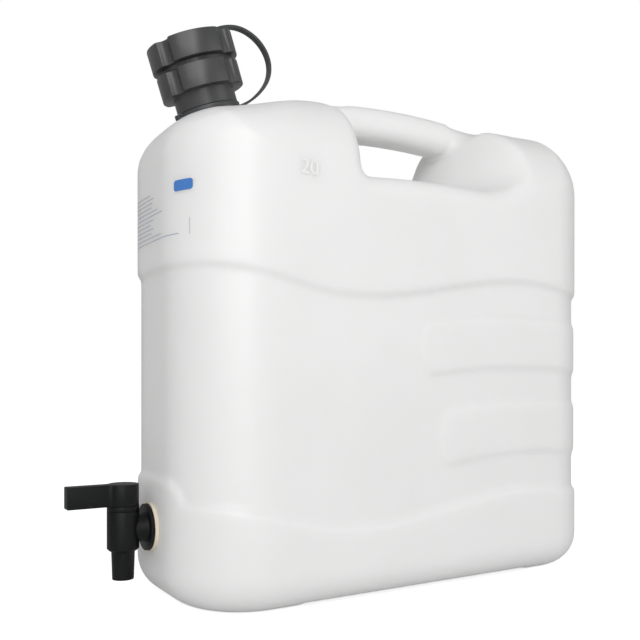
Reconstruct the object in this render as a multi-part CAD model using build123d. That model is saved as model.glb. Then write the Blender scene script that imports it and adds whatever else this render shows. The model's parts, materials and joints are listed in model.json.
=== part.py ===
from build123d import *
from math import cos, radians, sin, tan
import os

# Twenty-litre blow-moulded carboy with a lever tap low on its front wall, in millimetres.
# The origin is at the centre of the base, on the floor. +Z is up, and the tap is at -X.

# Canister: the blow-moulded shell
length = 404.0
width = 180.0
wall = 2.5
front_corner = 68.0
rear_corner = 58.0
foot_round = 30.0
front_end_round, rear_end_round = 38.0, 60.0
crown_height = 400.0
crown_tilt = 1.4
crown_side_round = 66.0
shoulder_drop, shoulder_tilt, shoulder_round = 2.5, 14.5, 90.0
shoulder_side_round = 50.0
front_foot, rear_foot, arch_rise = 95.0, 80.0, 4.0

# Waist: a shallow band round all four walls, between two waved ledges
waist_depth = 3.0
upper_wave = {"front": 255.5, "trough": 237.3, "crest": 257.3, "rear": 247.0}
lower_wave = {"front": 81.5, "trough": 60.5, "crest": 77.0, "rear": 68.5}
wave_trough, wave_crest = 120.0, 292.0
boss_half_width, boss_top, boss_round = 50.0, 97.0, 22.0

# Rib pads: two raised bars on the waist, from a round end on each side round the rear wall
pad_rise = 2.0
pad_round = 9.0
upper_pad = {"start": 193.3, "bottom": 183.0, "top": 225.5}
lower_pad = {"start": 213.8, "bottom": 109.5, "top": 153.0}
pad_sag = 7.0

# Hand hold: an arched deck under a bar, with the shell scooped away on both sides of the bar
deck_height, deck_middle, deck_arch = 333.5, 225.0, 900.0
recess_start = 140.0
recess_front_round, recess_rear_round, rim_round = 8.0, 36.0, 12.0
scoop_start, scoop_reach, scoop_lean = 262.0, 48.0, 22.0
grip_width = 38.0
grip_start, grip_middle, grip_end = 86.0, 238.0, 352.0
grip_under, grip_top = 386.0, 414.5
grip_arch = 640.0
grip_round = 12.0

# Neck: square to the sloping shoulder, leaning towards the front
neck_setback, neck_foot = 48.7, 383.7
neck_tilt = 18.1
neck_bore = 18.5
neck_wall = 3.0

# Closure, measured along the neck's axis from the shoulder: a screw-on adapter, and a cap on its nipple
adapter_skirt_start, adapter_skirt_outer = 4.2, 24.5
adapter_grip_start, adapter_grip_end, adapter_lobe_radius = 16.7, 34.7, 32.8
nipple_outer, nipple_bore = 19.0, 15.0
cap_start, cap_end, cap_lobe_radius = 39.0, 57.0, 34.2
cap_skirt_outer = 27.0
lobe_count, lobe_turn = 4, -17.4
notch_radius, notch_depth, lobe_round = 6.0, 4.5, 3.0
closure_wall = 2.4
thread_gap = 0.35
gasket_thick = 2.0
liner_thick = 1.2
stud_radius, stud_head_radius, stud_head_thick = 3.0, 4.6, 1.8

# Strap: one soft moulding with a ring round the neck, a band and an eye on the cap's stud
ring_outer, ring_thick, ring_gap = 25.6, 3.0, 0.7
lug_reach, lug_width = 29.5, 9.0
band_width, band_thick = 6.0, 2.0
eye_outer = 7.0
# Points of the band's middle line, behind and above the foot of the neck
band_route = [(-12.4, 57.3), (1.3, 67.9), (24.3, 75.3), (47.3, 63.8), (53.3, 46.3), (43.3, 25.3)]

# Tap: an upright plug in a barrel, turned by a lever
tap_height = 58.7
tap_standoff = 21.7
pipe_outer, pipe_bore = 9.8, 6.5
pipe_tail = 18.0
pipe_neck, pipe_flare = 8.0, 11.5
tap_gasket_outer, tap_gasket_thick = 18.6, 2.5
flange_outer, flange_thick = 17.75, 2.6
lock_nut_outer, lock_nut_thick = 15.0, 8.0
barrel_outer, barrel_bottom, barrel_top = 12.0, 42.9, 72.7
barrel_chamfer = 1.6
plug_radius, plug_gap = 9.0, 0.06
plug_wall = 2.2
nozzle_top_radius, nozzle_tip_radius, nozzle_bore, nozzle_bottom = 8.8, 8.05, 6.0, 21.3
plug_seat = 47.0
port_radius = 5.5
collar_outer, collar_thick = 12.0, 3.7
lever_outer, lever_height = 11.75, 16.3
lever_reach, lever_wide, lever_wall, lever_blend = 42.5, 11.0, 2.0, 5.0
drive_side, drive_height = 8.0, 9.0
seal_section, seal_below_top = 1.2, 3.5
face_gap, seal_gap = 0.3, 0.1

tilt = radians(neck_tilt)
half_length, half_width = length / 2, width / 2
neck_x = neck_setback - half_length
tap_x = -half_length - tap_standoff
recess_front = recess_start - half_length
scoop_x = scoop_start - half_length
# How far cutting shapes run past the walls that they cut
cut_clear = 50.0
top_clear = crown_height + cut_clear
neck_outer = neck_bore + neck_wall
adapter_roof = adapter_grip_end - closure_wall
cap_roof = cap_end - closure_wall
gasket_top = adapter_roof - seal_gap
liner_top = cap_roof - seal_gap
neck_height = gasket_top - gasket_thick - seal_gap
nipple_end = liner_top - liner_thick - seal_gap
collar_bottom = barrel_top + face_gap
lever_bottom = collar_bottom + collar_thick
neck_plane = Plane(
    origin=(neck_x, 0, neck_foot),
    x_dir=(cos(tilt), 0, sin(tilt)),
    z_dir=(-sin(tilt), 0, cos(tilt)),
)
tap_plane = Plane(origin=(-half_length, 0, tap_height), x_dir=(0, -1, 0), z_dir=(-1, 0, 0))


def cylinder_z(radius, bottom, top, x=0.0):
    """Upright cylinder between two heights."""
    return Pos(x, 0, bottom) * Cylinder(radius, top - bottom, align=(Align.CENTER, Align.CENTER, Align.MIN))


def on_neck(radius, start, end):
    """Cylinder about the neck's axis between two distances from the shoulder."""
    disc = neck_plane.offset(start) * Circle(radius)
    return extrude(disc, amount=end - start)


def on_tap(radius, start, end):
    """Cylinder along the tap's inlet, measured outwards from the front wall."""
    disc = tap_plane.offset(start) * Circle(radius)
    return extrude(disc, amount=end - start)


def side_slab(outline):
    """A closed outline in the XZ plane, pulled right through the canister's width."""
    return extrude(outline, amount=width, both=True)


def plan_face(inset):
    """The canister's plan: a rectangle with larger corners at the front."""
    with BuildSketch() as plan:
        Rectangle(length - 2 * inset, width - 2 * inset)
        fillet(plan.vertices().group_by(Axis.X)[0], front_corner - inset)
        fillet(plan.vertices().group_by(Axis.X)[-1], rear_corner - inset)
    return plan.sketch


def rounded_block(inset):
    """The canister with no hand hold: upright walls, a sloping front shoulder and a near-level crown."""
    slope, lean = tan(radians(shoulder_tilt)), tan(radians(crown_tilt))
    shoulder_at_zero = neck_foot - shoulder_drop - neck_x * slope - inset / cos(radians(shoulder_tilt))
    crown_at_zero = crown_height - inset / cos(radians(crown_tilt))
    ridge_x = (crown_at_zero - shoulder_at_zero) / (slope - lean)
    far = half_length + cut_clear
    roof = make_face(
        Polyline(
            (-far, 0, shoulder_at_zero - far * slope),
            (ridge_x, 0, crown_at_zero + ridge_x * lean),
            (far, 0, crown_at_zero + far * lean),
            (far, 0, top_clear),
            (-far, 0, top_clear),
            close=True,
        )
    )
    block = extrude(plan_face(inset), amount=top_clear - cut_clear / 2)
    block = Pos(0, 0, inset) * block - side_slab(roof)
    ridge = block.edges().filter_by(Axis.Y).sort_by(lambda edge: abs(edge.center().X - ridge_x))[0]
    block = fillet(ridge, shoulder_round - inset)
    block = fillet(block.faces().sort_by(Axis.Z)[0].edges(), foot_round - inset)
    half = Box(far, 2 * width, 2 * top_clear, align=(Align.MAX, Align.CENTER, Align.CENTER))
    front = rounded_roof(block, front_end_round - inset) & half
    rear = rounded_roof(block, rear_end_round - inset) & (Pos(far, 0, 0) * half)
    shoulder = roof_section(shoulder_side_round - inset, inset, shoulder_at_zero, shoulder_tilt)
    crown = roof_section(crown_side_round - inset, inset, crown_at_zero, crown_tilt)
    return ((front & shoulder) + rear) & crown


def rounded_roof(block, radius):
    """Rounds the edge of the roof all the way round."""
    roof_faces = [face for face in block.faces() if face.normal_at().Z > 0.5]
    rim = [edge for edge in block.edges() if sum(edge in face.edges() for face in roof_faces) == 1]
    return fillet(rim, radius)


def roof_section(radius, inset, height_at_zero, slope):
    """A round-shouldered cross-section of the canister, pulled along one of the roof's slopes."""
    side = half_width - inset
    reach = 2 * length
    along = (cos(radians(slope)), 0, sin(radians(slope)))
    start = (-reach, 0, height_at_zero - reach * tan(radians(slope)))
    with BuildSketch(Plane(origin=start, x_dir=(0, 1, 0), z_dir=along)) as section:
        with BuildLine():
            Line((radius - side, 0), (side - radius, 0))
            RadiusArc((side - radius, 0), (side, -radius), radius)
            Polyline((side, -radius), (side, -3 * top_clear), (-side, -3 * top_clear), (-side, -radius))
            RadiusArc((-side, -radius), (radius - side, 0), radius)
        make_face()
    return extrude(section.sketch, amount=2 * reach)


def waved_band(lower, upper):
    """The side outline between two waved lines, from beyond the front wall to beyond the rear wall."""
    far = half_length + 1

    def wave(heights):
        return Spline(
            (-far, 0, heights["front"]),
            (wave_trough - half_length, 0, heights["trough"]),
            (wave_crest - half_length, 0, heights["crest"]),
            (far, 0, heights["rear"]),
            tangents=[(1, 0, 0), (1, 0, -0.12)],
        )

    low, high = wave(lower), wave(upper)
    ends = [Line(low @ 0, high @ 0), Line(low @ 1, high @ 1)]
    return make_face([low, high] + ends)


def waist_zone(inset):
    """The band that stands back all round, less the arched boss round the tap."""
    lower = {name: height - inset for name, height in lower_wave.items()}
    upper = {name: height + inset for name, height in upper_wave.items()}
    boss = Plane.YZ.offset(-half_length - 2) * RectangleRounded(
        2 * (boss_half_width - inset), 2 * (boss_top - inset), boss_round
    )
    return side_slab(waved_band(lower, upper)) - extrude(boss, amount=front_corner)


def pad_zone(pad):
    """The side outline of one rib pad: a bar with a round front end, sagging a little at both ends."""
    front, rear = pad["start"] - half_length, half_length + 1
    middle = (front + rear) / 2

    def edge(height):
        return ThreePointArc(
            (front + pad_round, 0, height - pad_sag), (middle, 0, height), (rear, 0, height - pad_sag)
        )

    top, bottom = edge(pad["top"]), edge(pad["bottom"])
    nose = ThreePointArc(top @ 0, (front, 0, (pad["top"] + pad["bottom"]) / 2 - pad_sag), bottom @ 0)
    return make_face([top, bottom, nose, Line(top @ 1, bottom @ 1)])


def hand_recess(grow):
    """What is taken out for the hand: an arched deck, an upright front and a scooped, leaning rear."""
    far = half_length + cut_clear
    low = deck_height - grow - cut_clear
    shift = tan(radians(scoop_lean))
    start = scoop_x + grow - cut_clear * shift
    rear_edge = start + scoop_reach
    with BuildSketch(Plane.XY.offset(low)) as floor:
        with BuildLine():
            ThreePointArc((rear_edge, -half_width), (start, 0), (rear_edge, half_width))
            Polyline(
                (rear_edge, half_width),
                (rear_edge, width),
                (-far, width),
                (-far, -width),
                (rear_edge, -width),
                (rear_edge, -half_width),
            )
        make_face()
    block = extrude(floor.sketch, amount=top_clear - low, dir=(shift, 0, 1))
    radius = deck_arch - grow
    middle = deck_middle - half_length
    deck = [
        (x, 0, deck_height - grow - radius + (radius**2 - (x - middle) ** 2) ** 0.5)
        for x in (recess_front - grow, middle, far)
    ]
    above = make_face(
        [ThreePointArc(*deck), Polyline(deck[2], (far, 0, top_clear), (deck[0][0], 0, top_clear), deck[0])]
    )
    block = block & side_slab(above)
    block = fillet(floor_edges(block)[0], recess_front_round + grow)
    return fillet(floor_edges(block)[-1], recess_rear_round + grow)


def floor_edges(block):
    """The edges across the hand recess's floor, from the front to the rear."""
    across = [edge for edge in block.edges() if abs(edge.center().Y) < 1 and edge.center().Z < deck_height]
    return sorted(across, key=lambda edge: edge.center().X)


def rounded_rim(form, radius):
    """Rounds the whole edge of the hand recess, on both sides and over the crown."""
    inside = [
        face
        for face in form.faces()
        if abs(face.center().Y) < 1
        and recess_front - 2 * wall < face.center().X < scoop_x + scoop_reach
        and deck_height - 2 * wall < face.center().Z < grip_under
    ]
    rim = [edge for edge in form.edges() if sum(edge in face.edges() for face in inside) == 1]
    return fillet(rim, radius)


def grip_bar(inset):
    """The bar over the deck: arched above and below, sinking into the crown at both ends."""
    front, middle, rear = (x - half_length for x in (grip_start, grip_middle, grip_end))

    def arch(height, radius):
        ends = [height - radius + (radius**2 - (x - middle) ** 2) ** 0.5 for x in (front, rear)]
        return ThreePointArc((front, 0, ends[0]), (middle, 0, height), (rear, 0, ends[1]))

    top = arch(grip_top - inset, grip_arch - inset)
    under = arch(grip_under + inset, grip_arch + grip_under - grip_top + inset)
    outline = make_face([top, under, Line(top @ 0, under @ 0), Line(top @ 1, under @ 1)])
    bar = extrude(outline, amount=grip_width / 2 - inset, both=True)
    long_edges = [edge for edge in bar.edges() if edge.length > (rear - front) * 0.9]
    return fillet(long_edges, grip_round - inset)


def canister_form(inset):
    """The whole canister as a solid, with every wall drawn in by the inset."""
    block = rounded_block(inset)
    zone = waist_zone(inset)
    core = extrude(plan_face(inset + waist_depth), amount=top_clear)
    form = block - (zone - core)
    pads = extrude(plan_face(inset + waist_depth - pad_rise), amount=top_clear) & (
        side_slab(pad_zone(upper_pad)) + side_slab(pad_zone(lower_pad))
    )
    if inset == 0:
        form = form + pads
    form = rounded_rim(form - hand_recess(inset), rim_round - inset) + grip_bar(inset)
    arch_start, arch_end = front_foot - half_length, half_length - rear_foot
    arch_top = arch_rise + inset
    arch = make_face(
        Polyline(
            (arch_start - arch_rise - inset, 0, 0),
            (arch_start - inset, 0, arch_top),
            (arch_end + inset, 0, arch_top),
            (arch_end + arch_rise + inset, 0, 0),
            close=True,
        )
    )
    return form - side_slab(arch)


def canister_body():
    """Blow-moulded shell with its neck and the hole for the tap."""
    shell = canister_form(0) + on_neck(neck_outer, -5 * wall, neck_height)
    shell = shell - canister_form(wall) - on_neck(neck_bore, -6 * wall, neck_height + 1)
    return shell - on_tap(pipe_outer + face_gap, -2 * wall, 1)


def lobed(radius, start, end):
    """A hand wheel about the neck's axis: broad lobes with a round notch between each two."""
    with BuildSketch(neck_plane.offset(start)) as wheel:
        Circle(radius)
        notch_centre = radius + notch_radius - notch_depth
        with PolarLocations(notch_centre, lobe_count, start_angle=lobe_turn + 180 / lobe_count):
            Circle(notch_radius, mode=Mode.SUBTRACT)
        fillet(wheel.vertices(), lobe_round)
    return extrude(wheel.sketch, amount=end - start)


def neck_adapter():
    """Screw ring on the neck with a smaller threaded nipple standing on its roof."""
    body = on_neck(adapter_skirt_outer, adapter_skirt_start, adapter_roof)
    body = body + lobed(adapter_lobe_radius, adapter_grip_start, adapter_grip_end)
    body = body + on_neck(nipple_outer, adapter_roof, nipple_end)
    body = body - on_neck(neck_outer + thread_gap, 0, adapter_roof)
    return body - on_neck(nipple_bore, 0, cap_end)


def neck_gasket():
    """Flat ring between the neck's rim and the adapter's roof."""
    return on_neck(neck_outer, gasket_top - gasket_thick, gasket_top) - on_neck(neck_bore, 0, gasket_top)


def closure_cap():
    """Cap on the nipple, with a headed stud for the strap's eye."""
    stud_top = cap_end + band_thick + 2 * face_gap
    body = lobed(cap_lobe_radius, cap_start, cap_end)
    body = body + on_neck(cap_skirt_outer, adapter_grip_end + face_gap, cap_end)
    body = body - on_neck(nipple_outer + thread_gap, adapter_grip_end, cap_roof)
    body = body + on_neck(stud_radius, cap_end - closure_wall / 2, stud_top)
    return body + on_neck(stud_head_radius, stud_top, stud_top + stud_head_thick)


def cap_liner():
    """Sealing disc under the cap's roof."""
    return on_neck(nipple_outer, liner_top - liner_thick, liner_top)


def cap_strap():
    """Ring, band and eye in one soft moulding."""
    ring_top = ring_gap + ring_thick
    ear = neck_plane.from_local_coords((ring_outer + band_thick / 2, 0, ring_top - band_thick / 2))
    route = Spline([(neck_x + x, 0, neck_foot + z) for x, z in band_route] + [(ear.X, 0, ear.Z)])
    outer, inner = (
        Spline([route @ t + (route % t).cross(Vector(0, side, 0)) for t in [step / 10 for step in range(11)]])
        for side in (band_thick / 2, -band_thick / 2)
    )
    outline = make_face([outer, inner, Line(outer @ 0, inner @ 0), Line(outer @ 1, inner @ 1)])
    band = extrude(outline, amount=band_width / 2, both=True)
    lugs = extrude(neck_plane.offset(ring_gap) * SlotOverall(2 * lug_reach, lug_width), amount=ring_thick)
    ring = on_neck(ring_outer, ring_gap, ring_top) + lugs
    ring = ring - on_neck(neck_outer + ring_gap, 0, ring_top + 1)
    eye_start = cap_end + face_gap
    eye = on_neck(eye_outer, eye_start, eye_start + band_thick)
    strap = ring + band + eye
    return strap - on_neck(stud_radius + face_gap, cap_end, eye_start + 3 * band_thick)


def tap_body():
    """Barrel with its nozzle below and the threaded inlet and flange behind it."""
    reach = -half_length - tap_x
    barrel = cylinder_z(barrel_outer, barrel_bottom, barrel_top, tap_x)
    barrel = chamfer(barrel.edges().sort_by(Axis.Z)[0], barrel_chamfer)
    nozzle = Pos(tap_x, 0, nozzle_bottom) * Cone(
        nozzle_tip_radius,
        nozzle_top_radius,
        barrel_bottom - nozzle_bottom,
        align=(Align.CENTER, Align.CENTER, Align.MIN),
    )
    flange_face = tap_gasket_thick + flange_thick
    flange = on_tap(flange_outer, tap_gasket_thick, flange_face)
    wide_end, narrow_end = tap_plane.offset(flange_face), tap_plane.offset(reach)
    flare = loft([wide_end * Circle(pipe_flare), narrow_end * Circle(pipe_neck)])
    body = barrel + nozzle + flange + flare + on_tap(pipe_outer, -pipe_tail, flange_face)
    body = body - on_tap(pipe_bore, -pipe_tail, reach)
    body = body - cylinder_z(plug_radius + plug_gap, plug_seat, barrel_top, tap_x)
    return body - cylinder_z(nozzle_bore, nozzle_bottom, plug_seat, tap_x)


def tap_gasket():
    """Flat ring between the tap's flange and the front wall."""
    disc = on_tap(tap_gasket_outer, 0, tap_gasket_thick)
    return disc - on_tap(pipe_outer + thread_gap, 0, tap_gasket_thick)


def tap_lock_nut():
    """Hexagonal nut on the inlet's tail, inside the front wall."""
    nut = extrude(tap_plane.offset(-wall) * RegularPolygon(lock_nut_outer, 6), amount=-lock_nut_thick)
    return nut - on_tap(pipe_outer + plug_gap, -wall - lock_nut_thick, -wall)


def tap_plug():
    """Hollow plug with one side port, a collar over the barrel and a square drive."""
    seat = plug_seat + face_gap
    hollow_top = barrel_top - seal_below_top - 2 * plug_wall
    plug = cylinder_z(plug_radius, seat, collar_bottom, tap_x)
    plug = plug - cylinder_z(plug_radius - plug_wall, seat, hollow_top, tap_x)
    port = Plane(origin=(tap_x, 0, tap_height), z_dir=(0, -1, 0)) * Circle(port_radius)
    plug = plug - extrude(port, amount=2 * plug_radius)
    seal_top = barrel_top - seal_below_top
    groove = cylinder_z(plug_radius + 1, seal_top - seal_section, seal_top, tap_x) - cylinder_z(
        plug_radius - seal_section, seal_top - seal_section, seal_top, tap_x
    )
    plug = plug - groove + cylinder_z(collar_outer, collar_bottom, lever_bottom, tap_x)
    drive = Pos(tap_x, 0, lever_bottom) * Box(
        drive_side, drive_side, drive_height, align=(Align.CENTER, Align.CENTER, Align.MIN)
    )
    return plug + drive


def plug_o_ring():
    """Sealing ring in the plug's groove."""
    seal_top = barrel_top - seal_below_top
    outer = cylinder_z(plug_radius, seal_top - seal_section, seal_top, tap_x)
    return outer - cylinder_z(plug_radius - seal_section, seal_top - seal_section, seal_top, tap_x)


def tap_lever():
    """Hub and arm, both cored from below, over the plug's square drive."""
    top = lever_bottom + lever_height
    hub = cylinder_z(lever_outer, lever_bottom, top, tap_x)
    arm = Pos(tap_x, 0, lever_bottom) * Box(
        lever_reach, lever_wide, lever_height, align=(Align.MAX, Align.CENTER, Align.MIN)
    )
    lever = hub + arm
    joins = lever.edges().filter_by(Axis.Z).filter_by(lambda edge: abs(edge.center().X - tap_x) < lever_outer)
    lever = fillet(joins, lever_blend)
    core_start = lever_outer + lever_wall
    core = Pos(tap_x - core_start, 0, lever_bottom) * Box(
        lever_reach - core_start - lever_wall,
        lever_wide - 2 * lever_wall,
        lever_height - lever_wall,
        align=(Align.MAX, Align.CENTER, Align.MIN),
    )
    socket = Pos(tap_x, 0, lever_bottom) * Box(
        drive_side + 2 * plug_gap,
        drive_side + 2 * plug_gap,
        drive_height + face_gap,
        align=(Align.CENTER, Align.CENTER, Align.MIN),
    )
    return lever - core - socket


PIECES = [
    canister_body,
    neck_adapter,
    neck_gasket,
    closure_cap,
    cap_liner,
    cap_strap,
    tap_body,
    tap_gasket,
    tap_lock_nut,
    tap_plug,
    plug_o_ring,
    tap_lever,
]

os.makedirs("parts", exist_ok=True)
for piece in PIECES:
    export_step(piece(), f"parts/{piece.__name__}.step")
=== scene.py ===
import json
import math

import bpy
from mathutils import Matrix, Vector

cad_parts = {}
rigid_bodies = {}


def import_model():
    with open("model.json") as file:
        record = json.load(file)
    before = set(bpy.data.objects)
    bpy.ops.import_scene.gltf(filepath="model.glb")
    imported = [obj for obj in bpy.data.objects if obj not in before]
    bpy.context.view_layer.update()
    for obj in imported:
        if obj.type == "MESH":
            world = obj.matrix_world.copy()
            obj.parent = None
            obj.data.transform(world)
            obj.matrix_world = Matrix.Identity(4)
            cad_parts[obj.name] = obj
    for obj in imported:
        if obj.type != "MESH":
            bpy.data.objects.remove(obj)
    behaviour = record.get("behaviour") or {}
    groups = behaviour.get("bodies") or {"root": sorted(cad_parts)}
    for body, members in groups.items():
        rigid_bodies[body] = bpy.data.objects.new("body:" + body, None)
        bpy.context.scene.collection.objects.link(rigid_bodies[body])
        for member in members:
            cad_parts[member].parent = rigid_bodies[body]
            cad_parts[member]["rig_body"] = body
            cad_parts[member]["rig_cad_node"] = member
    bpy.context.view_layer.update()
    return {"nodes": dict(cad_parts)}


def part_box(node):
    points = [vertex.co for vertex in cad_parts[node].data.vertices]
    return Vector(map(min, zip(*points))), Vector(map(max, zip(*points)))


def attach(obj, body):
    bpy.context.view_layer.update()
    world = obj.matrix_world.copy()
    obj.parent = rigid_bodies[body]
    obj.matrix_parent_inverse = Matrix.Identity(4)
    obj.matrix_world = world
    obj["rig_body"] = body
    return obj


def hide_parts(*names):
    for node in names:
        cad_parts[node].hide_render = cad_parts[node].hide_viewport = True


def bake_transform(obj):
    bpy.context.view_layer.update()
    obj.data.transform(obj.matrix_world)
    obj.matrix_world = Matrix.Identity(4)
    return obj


# A twenty-litre translucent carboy, with a screw closure on a leaning neck and a lever tap.
# All lengths are in metres, and most are written in millimetres times MM.

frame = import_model()
nodes = frame["nodes"]

MM = 0.001

# Places that the details below are set out from
CANISTER_LOW, CANISTER_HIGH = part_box("canister_body")
FRONT = CANISTER_LOW.x
SIDE = CANISTER_HIGH.y
NECK_LEAN = math.radians(18.1)
NECK_AXIS = Vector((-math.sin(NECK_LEAN), 0.0, math.cos(NECK_LEAN)))
NECK_ACROSS = Vector((math.cos(NECK_LEAN), 0.0, math.sin(NECK_LEAN)))
NECK_FOOT = Vector((FRONT + 48.7 * MM, 0.0, 383.7 * MM))
NECK_TOP = 30.1 * MM
NECK_RADIUS = 21.5 * MM
# The tap's inlet: its height, the radius of its hole and the depth that the front wall's hole is within
TAP_HEIGHT = 58.7 * MM
TAP_BORE = 10.1 * MM
HOLE_DEPTH = 4 * MM

# Points closer than the first are one, and a face closer to a plane than the second lies on it
WELD = 0.001 * MM
NEAR = 0.2 * MM

# Canister: the grid its skin is rebuilt on, the share of faces kept and the least wall
SKIN_GRID = 2.2 * MM
SKIN_SHARE = 0.6
LEAST_WALL = 1.8 * MM
# The front root of the handle's bar, behind the neck, and the corners the two skins share there
BAR_START = Vector((FRONT + 86 * MM, 0.0, 392 * MM))
BAR_ROOT = 25 * MM
ROOT_CORNER = Vector((BAR_START.x, 13.62 * MM, 390.85 * MM))
# The neck keeps its form within this radius of its axis
NECK_KEEP = 27 * MM
# How far the cavity's ends are drawn out past the skin
NECK_END = 5 * MM
TAP_END = 8 * MM
# Rounds of smoothing for the whole skin, and more of them for the ledges between two heights
SKIN_ROUNDS = 4
WAIST_LOW, WAIST_HIGH = 40 * MM, 275 * MM
LEDGE_ROUNDS = 3
# Softer places: middle, reach and rounds of smoothing
SOFT_PLACES = [
    (BAR_START, 36 * MM, 120),
    (Vector((FRONT + 60 * MM, 0.0, 384 * MM)), 75 * MM, 16),
    (Vector((FRONT + 113 * MM, 0.0, 397 * MM)), 62 * MM, 30),
    (Vector((FRONT + 138 * MM, 0.0, 390 * MM)), 42 * MM, 14),
    (Vector((FRONT + 330 * MM, 0.0, 396 * MM)), 52 * MM, 90),
]
# Top of the shoulder beside the neck, how far it is let down and how far around
SHOULDER_EASE = Vector((FRONT + 60 * MM, 62 * MM, 377 * MM))
EASE_DROP, EASE_REACH = 3.4 * MM, 74 * MM

# Strap: its ears' height up the neck's axis, reach and half width, the holes in them and the rounding
# of its edges
EAR_HEIGHT, EAR_REACH, EAR_HALF_WIDTH = 2.2 * MM, 26.6 * MM, 4.5 * MM
EAR_HOLE, EAR_HOLE_LENGTH = 0.9 * MM, 4 * MM
STRAP_EDGE = 0.35 * MM

# Printed bars on the front: sideways from and to, then height from and to
BADGE = (-59 * MM, -42 * MM, 308 * MM, 316 * MM)
BADGE_CORNER = 2.2 * MM
TICK_LINE = (-56.8 * MM, -56.4 * MM, 276 * MM, 288 * MM)
# Block of fine lines: where each one ends, in millimetres, and where all of them start
PRINT_TOP, PRINT_PITCH, PRINT_HEIGHT = 314 * MM, 3.3 * MM, 0.6 * MM
PRINT_ENDS = [2, -6, -4, -2, -15, -25, -6, 0, -6, -2, -23, -47]
PRINT_START = 34 * MM
# How far the ink stands off the skin, and how often a bar is cut to follow the front's curve
PRINT_LIFT = 0.12 * MM
PRINT_STEP = 2 * MM

# Raised figures on the near side
FIGURES_X, FIGURES_Z, FIGURE_HEIGHT = -120 * MM, 322 * MM, 11 * MM
# Share of the letter size that a figure's height takes up
FIGURE_SHARE = 0.7
# Half their depth, how deep their middle lies under the skin, and the rounding of their edges
FIGURE_HALF_DEPTH, FIGURE_SINK, FIGURE_EDGE = 0.9 * MM, 0.85 * MM, 0.25 * MM

# Camera, level with the lower half of the carboy
CAMERA_PLACE = Vector((FRONT - 0.2015, -0.5924, 0.1696))
CAMERA_AZIMUTH = math.radians(-30.81)
CAMERA_LENS, CAMERA_SENSOR = 44.67, 36.0
CAMERA_RISE = 0.0975

# Light that the white surroundings give, and the floor's paint and glow
WORLD_LIGHT = 0.41
FLOOR_SIZE, FLOOR_PAINT, FLOOR_GLOW = 8.0, 0.74, 0.76
# Lamps: name, place, aim, width and height, and watts
LAMPS = [
    ("key", (-1.2, -1.6, 0.9), (0, 0, 0.2), (1.6, 1.6), 19),
    ("fill", (1.3, -1.7, 0.45), (0, 0, 0.2), (1.6, 1.6), 8),
    ("strip", (-0.62, -1.35, 0.45), (-0.1, 0, 0.22), (0.3, 1.7), 3),
]


# ---------------------------------------------------------------- modelling


def pick(piece):
    """Selects one piece alone."""
    bpy.ops.object.select_all(action="DESELECT")
    piece.hide_set(False)
    piece.select_set(True)
    bpy.context.view_layer.objects.active = piece


def copy_of(node, name):
    """A merged copy of a CAD node's mesh, free of its frame."""
    piece = nodes[node].copy()
    piece.data = nodes[node].data.copy()
    piece.name = piece.data.name = name
    bpy.context.scene.collection.objects.link(piece)
    piece.parent = None
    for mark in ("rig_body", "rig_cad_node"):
        del piece[mark]
    on_all(piece, bpy.ops.mesh.remove_doubles, threshold=WELD)
    return piece


def modify(piece, kind, **settings):
    """Adds one modifier and applies it."""
    pick(piece)
    modifier = piece.modifiers.new(kind.lower(), kind)
    for key, value in settings.items():
        setattr(modifier, key, value)
    bpy.ops.object.modifier_apply(modifier=modifier.name)


def in_edit(operator, **settings):
    """Runs one mesh operator on what is selected in the picked piece."""
    bpy.ops.object.mode_set(mode="EDIT")
    operator(**settings)
    bpy.ops.object.mode_set(mode="OBJECT")


def on_all(piece, operator, **settings):
    """Runs one mesh operator on the whole of a piece."""
    pick(piece)
    bpy.ops.object.mode_set(mode="EDIT")
    bpy.ops.mesh.select_all(action="SELECT")
    operator(**settings)
    bpy.ops.object.mode_set(mode="OBJECT")


def clear_selection(piece, kind):
    """Picks a piece, clears what is selected in it and sets the kind that is selected next."""
    pick(piece)
    bpy.ops.object.mode_set(mode="EDIT")
    bpy.ops.mesh.select_mode(type=kind)
    bpy.ops.mesh.select_all(action="DESELECT")
    bpy.ops.object.mode_set(mode="OBJECT")


def select_faces(piece, wanted):
    """Selects the faces whose centre and normal are wanted."""
    clear_selection(piece, "FACE")
    for face in piece.data.polygons:
        face.select = wanted(face.center, face.normal)


def select_points(piece, wanted):
    """Selects the points whose place is wanted."""
    clear_selection(piece, "VERT")
    for point in piece.data.vertices:
        point.select = wanted(point.co)


def dress(piece, material):
    """Gives a piece its material."""
    piece.data.materials.clear()
    piece.data.materials.append(material)


def finish_piece(piece, body, material):
    """Gives a piece its material and the body it moves with."""
    dress(piece, material)
    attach(piece, body)
    return piece


def smooth_shading(piece, degrees):
    """Shades a piece smooth, with creases where faces meet at more than this angle."""
    pick(piece)
    bpy.ops.object.shade_smooth_by_angle(angle=math.radians(degrees))


def neck_place(point):
    """Height above the shoulder and distance from the neck's axis."""
    along = (point - NECK_FOOT).dot(NECK_AXIS)
    return along, (point - NECK_FOOT - along * NECK_AXIS).length


def tap_distance(point):
    """Distance from the axis of the tap's inlet."""
    return math.hypot(point.y, point.z - TAP_HEIGHT)


# ---------------------------------------------------------------- canister


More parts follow.
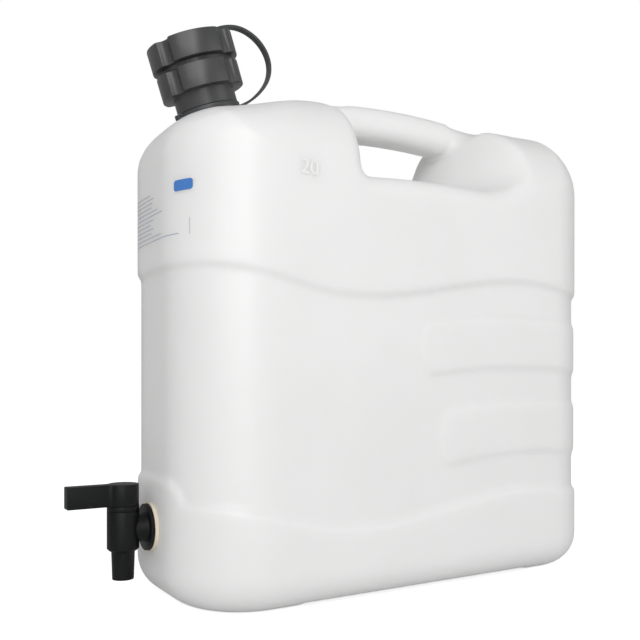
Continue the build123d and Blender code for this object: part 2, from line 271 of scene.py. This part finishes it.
def split_skins():
    """The canister's outer and inner skins, each closed where its openings and the root were."""
    skin = copy_of("canister_body", "canister_shell")

    def at_opening(centre, normal):
        height, radius = neck_place(centre)
        rim = abs(height - NECK_TOP) < NEAR and radius < NECK_RADIUS
        hole = tap_distance(centre) < TAP_BORE + NEAR and centre.x < FRONT + HOLE_DEPTH
        root = abs(centre.x - BAR_START.x) < NEAR / 2 and (centre - BAR_START).length < BAR_ROOT
        return rim or hole or (root and abs(normal.x) > 0.99)

    def at_root_corner(point):
        corner = Vector((BAR_START.x, math.copysign(ROOT_CORNER.y, point.y), ROOT_CORNER.z))
        return (point - corner).length < 3 * NEAR

    select_faces(skin, at_opening)
    in_edit(bpy.ops.mesh.delete, type="FACE")
    select_points(skin, at_root_corner)
    in_edit(bpy.ops.mesh.delete, type="VERT")
    on_all(skin, bpy.ops.mesh.separate, type="LOOSE")
    skins = sorted(bpy.context.selected_objects, key=lambda piece: piece.dimensions.y)
    inner, outer = skins[0], skins[-1]
    for piece in (inner, outer):
        on_all(piece, bpy.ops.mesh.fill_holes, sides=0)
    return outer, inner


def extend_opening(cavity, wanted, shift):
    """Pulls a closed end of the cavity out past the skin."""
    select_faces(cavity, wanted)
    in_edit(bpy.ops.mesh.extrude_region_move, TRANSFORM_OT_translate={"value": shift})


def sink_cavity(cavity, skin):
    """Draws the cavity back under the softened skin, all but its two open ends."""

    def away_from_ends(point):
        height, radius = neck_place(point)
        by_neck = radius < NECK_KEEP and height > 0.0
        by_tap = tap_distance(point) < 2 * TAP_BORE and point.x < FRONT + 2 * TAP_BORE
        return not by_neck and not by_tap

    select_points(cavity, away_from_ends)
    bpy.ops.object.mode_set(mode="EDIT")
    bpy.ops.object.vertex_group_add()
    bpy.ops.object.vertex_group_assign()
    bpy.ops.object.mode_set(mode="OBJECT")
    modify(
        cavity,
        "SHRINKWRAP",
        target=skin,
        wrap_method="NEAREST_SURFACEPOINT",
        wrap_mode="INSIDE",
        offset=LEAST_WALL,
        vertex_group=cavity.vertex_groups[0].name,
    )


def soften(skin):
    """Eases the blown form: all of it a little, its ledges more, and the handle's roots most."""
    modify(skin, "SMOOTH", factor=0.5, iterations=SKIN_ROUNDS)
    select_points(skin, lambda point: WAIST_LOW < point.z < WAIST_HIGH)
    in_edit(bpy.ops.mesh.vertices_smooth, factor=0.5, repeat=LEDGE_ROUNDS)
    for place, reach, rounds in SOFT_PLACES:

        def beside_neck(point):
            return (point - place).length < reach and neck_place(point)[1] > NECK_KEEP

        select_points(skin, beside_neck)
        in_edit(bpy.ops.mesh.vertices_smooth, factor=0.5, repeat=rounds)
    for side in (-1, 1):
        place = Vector((SHOULDER_EASE.x, side * SHOULDER_EASE.y, SHOULDER_EASE.z))
        select_points(skin, lambda point: (point - place).length < 3 * SKIN_GRID)
        in_edit(
            bpy.ops.transform.translate,
            value=(0.0, 0.0, -EASE_DROP),
            use_proportional_edit=True,
            proportional_edit_falloff="SMOOTH",
            proportional_size=EASE_REACH,
        )


def canister_shell():
    """Blown shell: the solid's skin on an even grid, softened, with the cavity taken out again."""
    outer, inner = split_skins()
    outer.name = outer.data.name = "canister_shell"
    guide = outer.copy()
    guide.data = outer.data.copy()
    bpy.context.scene.collection.objects.link(guide)
    modify(outer, "REMESH", mode="VOXEL", voxel_size=SKIN_GRID)
    modify(outer, "SHRINKWRAP", target=guide, wrap_method="NEAREST_SURFACEPOINT")
    soften(outer)
    modify(outer, "DECIMATE", ratio=SKIN_SHARE)
    sink_cavity(inner, outer)

    def at_neck_end(centre, normal):
        return abs(neck_place(centre)[0] - NECK_TOP) < NEAR and normal.dot(NECK_AXIS) > 0.9

    def at_tap_end(centre, normal):
        return tap_distance(centre) < TAP_BORE and normal.x < -0.9 and centre.x < FRONT + TAP_END

    extend_opening(inner, at_neck_end, NECK_AXIS * NECK_END)
    extend_opening(inner, at_tap_end, Vector((-TAP_END, 0.0, 0.0)))
    modify(outer, "BOOLEAN", operation="DIFFERENCE", object=inner, solver="EXACT")
    bpy.data.objects.remove(guide)
    bpy.data.objects.remove(inner)
    smooth_shading(outer, 50)
    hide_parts("canister_body")
    return finish_piece(outer, "canister", CANISTER)


# ---------------------------------------------------------------- closure and tap


def ease_edges(piece, width):
    """Joins the flat triangles of a solid and rounds its sharp edges."""
    on_all(piece, bpy.ops.mesh.dissolve_limited, angle_limit=math.radians(0.5))
    modify(
        piece,
        "BEVEL",
        width=width,
        segments=3,
        limit_method="ANGLE",
        angle_limit=math.radians(40),
    )
    smooth_shading(piece, 30)


def eased_copy(node, name, width, material, body, slot):
    """The node's form with its sharp edges eased, as moulding leaves them."""
    piece = copy_of(node, name)
    ease_edges(piece, width)
    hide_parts(node)
    finish_piece(piece, body, material)


def strap_piece():
    """Soft strap: its two ears get a small blind hole."""
    piece = copy_of("cap_strap", "strap")
    for side in (-1, 1):
        place = NECK_FOOT + EAR_HEIGHT * NECK_AXIS + side * EAR_REACH * NECK_ACROSS
        bpy.ops.object.select_all(action="DESELECT")
        bpy.ops.mesh.primitive_cylinder_add(
            vertices=24,
            radius=EAR_HOLE,
            depth=EAR_HOLE_LENGTH,
            location=(place.x, -EAR_HALF_WIDTH, place.z),
            rotation=(math.pi / 2, 0.0, 0.0),
        )
        cutter = bpy.context.object
        modify(piece, "BOOLEAN", operation="DIFFERENCE", object=cutter, solver="EXACT")
        bpy.data.objects.remove(cutter)
    ease_edges(piece, STRAP_EDGE)
    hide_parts("cap_strap")
    dress(piece, STRAP)
    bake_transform(piece)


# ---------------------------------------------------------------- marks on the canister


def wrapped_bar(name, low_y, high_y, low_z, high_z, corner, skin):
    """A thin printed bar laid on the curved front of the canister."""
    bpy.ops.object.select_all(action="DESELECT")
    bpy.ops.mesh.primitive_plane_add(
        size=1.0,
        location=(0, 0, 0),
        rotation=(0.0, -math.pi / 2, 0.0),
    )
    bar = bpy.context.object
    bar.name = bar.data.name = name
    bar.scale = (high_z - low_z, high_y - low_y, 1.0)
    bar.location = (FRONT - 2 * MM, (low_y + high_y) / 2, (low_z + high_z) / 2)
    bpy.ops.object.transform_apply(location=True, rotation=True, scale=True)
    bpy.ops.object.mode_set(mode="EDIT")
    bpy.ops.mesh.select_all(action="SELECT")
    if corner:
        bpy.ops.mesh.bevel(offset=corner, segments=5, affect="VERTICES")
    cuts = max(2, round((high_y - low_y) / PRINT_STEP))
    for step in range(1, cuts):
        bpy.ops.mesh.select_all(action="SELECT")
        place = low_y + (high_y - low_y) * step / cuts
        bpy.ops.mesh.bisect(plane_co=(FRONT, place, 0.0), plane_no=(0.0, 1.0, 0.0))
    bpy.ops.object.mode_set(mode="OBJECT")
    modify(
        bar,
        "SHRINKWRAP",
        target=skin,
        wrap_method="PROJECT",
        use_project_x=True,
        use_positive_direction=True,
        use_negative_direction=True,
        offset=PRINT_LIFT,
    )
    return bar


def printed_marks(skin):
    """A plain blue badge and a block of fine blue lines, with nothing written on them."""
    badge = wrapped_bar("blue_badge", *BADGE, BADGE_CORNER, skin)
    finish_piece(badge, "canister", BADGE_INK)
    lines = []
    for row, end in enumerate(PRINT_ENDS):
        top = PRINT_TOP - row * PRINT_PITCH
        corners = (end * MM, PRINT_START, top - PRINT_HEIGHT, top)
        lines.append(wrapped_bar(f"line_{row}", *corners, 0.0, skin))
    lines.append(wrapped_bar("tick_line", *TICK_LINE, 0.0, skin))
    bpy.ops.object.select_all(action="DESELECT")
    for line in lines:
        line.select_set(True)
    bpy.context.view_layer.objects.active = lines[0]
    bpy.ops.object.join()
    lines[0].name = lines[0].data.name = "print_lines"
    finish_piece(lines[0], "canister", LINE_INK)


def raised_numerals():
    """Blown figures for the twenty litres, just proud of the near side."""
    bpy.ops.object.select_all(action="DESELECT")
    bpy.ops.object.text_add(location=(0, 0, 0))
    figures = bpy.context.object
    figures.data.body = "20"
    figures.data.size = FIGURE_HEIGHT / FIGURE_SHARE
    figures.data.extrude = FIGURE_HALF_DEPTH
    figures.data.bevel_depth = FIGURE_EDGE
    figures.data.bevel_resolution = 2
    bpy.ops.object.convert(target="MESH")
    figures = bpy.context.object
    figures.name = figures.data.name = "raised_figures"
    figures.rotation_euler = (math.pi / 2, 0.0, 0.0)
    figures.location = (FIGURES_X, -SIDE + FIGURE_SINK, FIGURES_Z)
    bpy.ops.object.transform_apply(location=True, rotation=True, scale=True)
    on_all(figures, bpy.ops.mesh.remove_doubles, threshold=WELD)
    on_all(figures, bpy.ops.mesh.normals_make_consistent, inside=False)
    smooth_shading(figures, 40)
    finish_piece(figures, "canister", FIGURES)


# ---------------------------------------------------------------- materials


def start_material(name, roughness):
    """A new material with its node tree, its shader and the piece's own coordinates."""
    material = bpy.data.materials.new(name)
    material.use_nodes = True
    tree = material.node_tree
    shader = tree.nodes["Principled BSDF"]
    shader.inputs["Roughness"].default_value = roughness
    place = tree.nodes.new("ShaderNodeTexCoord")
    return material, tree, shader, place.outputs["Object"]


def noise(tree, place, scale, detail=3.0, stretch=(1, 1, 1)):
    """Noise of a scale, between zero and one."""
    mapping = tree.nodes.new("ShaderNodeMapping")
    mapping.inputs["Scale"].default_value = stretch
    tree.links.new(place, mapping.inputs["Vector"])
    texture = tree.nodes.new("ShaderNodeTexNoise")
    texture.inputs["Scale"].default_value = scale
    texture.inputs["Detail"].default_value = detail
    tree.links.new(mapping.outputs["Vector"], texture.inputs["Vector"])
    return texture.outputs["Fac"]


def ramp(tree, value, stops):
    """Colours that a value runs through, each with its place between zero and one."""
    node = tree.nodes.new("ShaderNodeValToRGB")
    elements = node.color_ramp.elements
    while len(elements) < len(stops):
        elements.new(0.5)
    for element, (place, colour) in zip(elements, stops):
        element.position = place
        element.color = (*colour, 1.0)
    tree.links.new(value, node.inputs["Fac"])
    return node.outputs["Color"]


def bump(tree, shader, height, strength, distance):
    """Fine relief, too small for the mesh."""
    node = tree.nodes.new("ShaderNodeBump")
    node.inputs["Strength"].default_value = strength
    node.inputs["Distance"].default_value = distance
    tree.links.new(height, node.inputs["Height"])
    tree.links.new(node.outputs["Normal"], shader.inputs["Normal"])


def milky_plastic(name, depth):
    """Natural polyethylene: milky, faintly cloudy, with the fine orange peel of a blown skin."""
    material, tree, shader, place = start_material(name, 0.36)
    shader.inputs["Subsurface Weight"].default_value = depth
    shader.inputs["Subsurface Radius"].default_value = (1.0, 0.95, 0.9)
    shader.inputs["Subsurface Scale"].default_value = 0.018
    shader.inputs["IOR"].default_value = 1.5
    shader.inputs["Specular IOR Level"].default_value = 0.4
    cloud = noise(tree, place, 9.0, 4.0)
    colour = ramp(tree, cloud, [(0.3, (0.845, 0.845, 0.84)), (0.7, (0.875, 0.875, 0.873))])
    tree.links.new(colour, shader.inputs["Base Color"])
    bump(tree, shader, noise(tree, place, 160.0, 2.0), 0.12, 0.0004)
    return material


def dark_plastic(name, dark, light, roughness, grain, sheen=0.5):
    """Moulded plastic with a faint flow pattern and a fine spark-eroded grain."""
    material, tree, shader, place = start_material(name, roughness)
    shader.inputs["Specular IOR Level"].default_value = sheen
    flow = noise(tree, place, 28.0, 4.0, stretch=(1, 1, 0.4))
    tree.links.new(ramp(tree, flow, [(0.3, dark), (0.72, light)]), shader.inputs["Base Color"])
    rough = tree.nodes.new("ShaderNodeMapRange")
    rough.inputs["To Min"].default_value = roughness - 0.06
    rough.inputs["To Max"].default_value = roughness + 0.08
    tree.links.new(noise(tree, place, 60.0), rough.inputs["Value"])
    tree.links.new(rough.outputs["Result"], shader.inputs["Roughness"])
    bump(tree, shader, noise(tree, place, grain, 2.0), 0.15, 0.0002)
    return material


def soft_rubber(name, dark, light):
    """Matt, evenly coloured rubber with a fine grain."""
    material, tree, shader, place = start_material(name, 0.7)
    colour = ramp(tree, noise(tree, place, 120.0), [(0.3, dark), (0.7, light)])
    tree.links.new(colour, shader.inputs["Base Color"])
    bump(tree, shader, noise(tree, place, 900.0, 2.0), 0.2, 0.0002)
    return material


# Scale of the grain that spark erosion leaves, and of the grain under the ink
MOULD_GRAIN, INK_GRAIN = 900.0, 700.0

CANISTER = milky_plastic("milky_polyethylene", 0.6)
FIGURES = milky_plastic("milky_polyethylene_figures", 0.0)
CLOSURE = dark_plastic(
    "grey_polypropylene",
    (0.046, 0.047, 0.046),
    (0.062, 0.063, 0.063),
    0.32,
    MOULD_GRAIN,
)
STRAP = dark_plastic(
    "soft_grey_polyethylene",
    (0.042, 0.044, 0.047),
    (0.056, 0.059, 0.063),
    0.42,
    MOULD_GRAIN,
)
TAP = dark_plastic(
    "black_polypropylene",
    (0.005, 0.0055, 0.006),
    (0.008, 0.0086, 0.0094),
    0.42,
    MOULD_GRAIN,
    sheen=0.2,
)
BADGE_INK = dark_plastic("blue_ink", (0.05, 0.19, 0.56), (0.07, 0.24, 0.64), 0.4, INK_GRAIN)
LINE_INK = dark_plastic("pale_blue_ink", (0.36, 0.39, 0.5), (0.48, 0.51, 0.61), 0.45, INK_GRAIN)
BEIGE = soft_rubber("beige_gasket_rubber", (0.78, 0.67, 0.53), (0.85, 0.75, 0.61))
BLACK = soft_rubber("black_seal_rubber", (0.012, 0.012, 0.012), (0.02, 0.02, 0.02))


# ---------------------------------------------------------------- studio


def add_camera():
    """Camera level with the lower half, with its frame raised to take in the closure."""
    data = bpy.data.cameras.new("camera")
    data.lens = CAMERA_LENS
    data.sensor_width = CAMERA_SENSOR
    data.shift_y = CAMERA_RISE
    camera = bpy.data.objects.new("camera", data)
    bpy.context.scene.collection.objects.link(camera)
    camera.location = CAMERA_PLACE
    camera.rotation_euler = (math.pi / 2, 0.0, CAMERA_AZIMUTH)
    bpy.context.scene.camera = camera


def add_light(name, place, aim, size, power):
    """Rectangular soft light."""
    data = bpy.data.lights.new(name, "AREA")
    data.shape = "RECTANGLE"
    data.size, data.size_y = size
    data.energy = power
    light = bpy.data.objects.new(name, data)
    bpy.context.scene.collection.objects.link(light)
    light.location = place
    light.rotation_mode = "QUATERNION"
    light.rotation_quaternion = (Vector(aim) - Vector(place)).to_track_quat("-Z", "Y")


def seen_directly(tree):
    """One for rays straight from the camera, and for those that pass through a clear piece."""
    path = tree.nodes.new("ShaderNodeLightPath")
    either = tree.nodes.new("ShaderNodeMath")
    either.operation = "MAXIMUM"
    tree.links.new(path.outputs["Is Camera Ray"], either.inputs[0])
    tree.links.new(path.outputs["Is Transmission Ray"], either.inputs[1])
    return either.outputs["Value"]


def add_world():
    """White where it is seen, and softer where it lights."""
    world = bpy.data.worlds.new("studio")
    bpy.context.scene.world = world
    world.use_nodes = True
    tree = world.node_tree
    background = tree.nodes["Background"]
    background.inputs["Color"].default_value = (1, 1, 1, 1)
    level = tree.nodes.new("ShaderNodeMapRange")
    level.inputs["To Min"].default_value = WORLD_LIGHT
    level.inputs["To Max"].default_value = 1.0
    tree.links.new(seen_directly(tree), level.inputs["Value"])
    tree.links.new(level.outputs["Result"], background.inputs["Strength"])


def add_floor():
    """Plain white floor that keeps the shadow."""
    bpy.ops.object.select_all(action="DESELECT")
    bpy.ops.mesh.primitive_plane_add(size=FLOOR_SIZE, location=(0, 0, 0))
    floor = bpy.context.object
    floor.name = "floor"
    material = bpy.data.materials.new("floor_paint")
    material.use_nodes = True
    tree = material.node_tree
    shader = tree.nodes["Principled BSDF"]
    shader.inputs["Base Color"].default_value = (FLOOR_PAINT, FLOOR_PAINT, FLOOR_PAINT, 1)
    shader.inputs["Roughness"].default_value = 0.9
    shader.inputs["Specular IOR Level"].default_value = 0.0
    shader.inputs["Emission Color"].default_value = (1, 1, 1, 1)
    glow = tree.nodes.new("ShaderNodeMath")
    glow.operation = "MULTIPLY"
    glow.inputs[1].default_value = FLOOR_GLOW
    tree.links.new(seen_directly(tree), glow.inputs[0])
    tree.links.new(glow.outputs["Value"], shader.inputs["Emission Strength"])
    floor.data.materials.append(material)


# ---------------------------------------------------------------- the whole

shell = canister_shell()
raised_numerals()
printed_marks(shell)
strap_piece()

# Moulded pieces: node, name, width of the eased edges, material, body and slot
for moulding in (
    ("neck_adapter", "adapter", 0.45 * MM, CLOSURE, "adapter", "closure_plastic"),
    ("closure_cap", "cap", 0.5 * MM, CLOSURE, "cap", "closure_plastic"),
    ("tap_body", "tap_barrel", 0.4 * MM, TAP, "canister", "tap_plastic"),
    ("tap_plug", "tap_key", 0.3 * MM, TAP, "tap_turn", "tap_plastic"),
    ("tap_lever", "lever", 0.6 * MM, TAP, "tap_turn", "tap_plastic"),
):
    eased_copy(*moulding)

# Solids that show as they are
for node, material in (
    ("tap_gasket", BEIGE),
    ("tap_lock_nut", TAP),
    ("neck_gasket", BLACK),
    ("plug_o_ring", BLACK),
    ("cap_liner", BLACK),
):
    nodes[node].data.materials.clear()
    nodes[node].data.materials.append(material)

add_camera()
add_floor()
add_world()
for lamp in LAMPS:
    add_light(*lamp)
bpy.context.scene.view_settings.view_transform = "Standard"
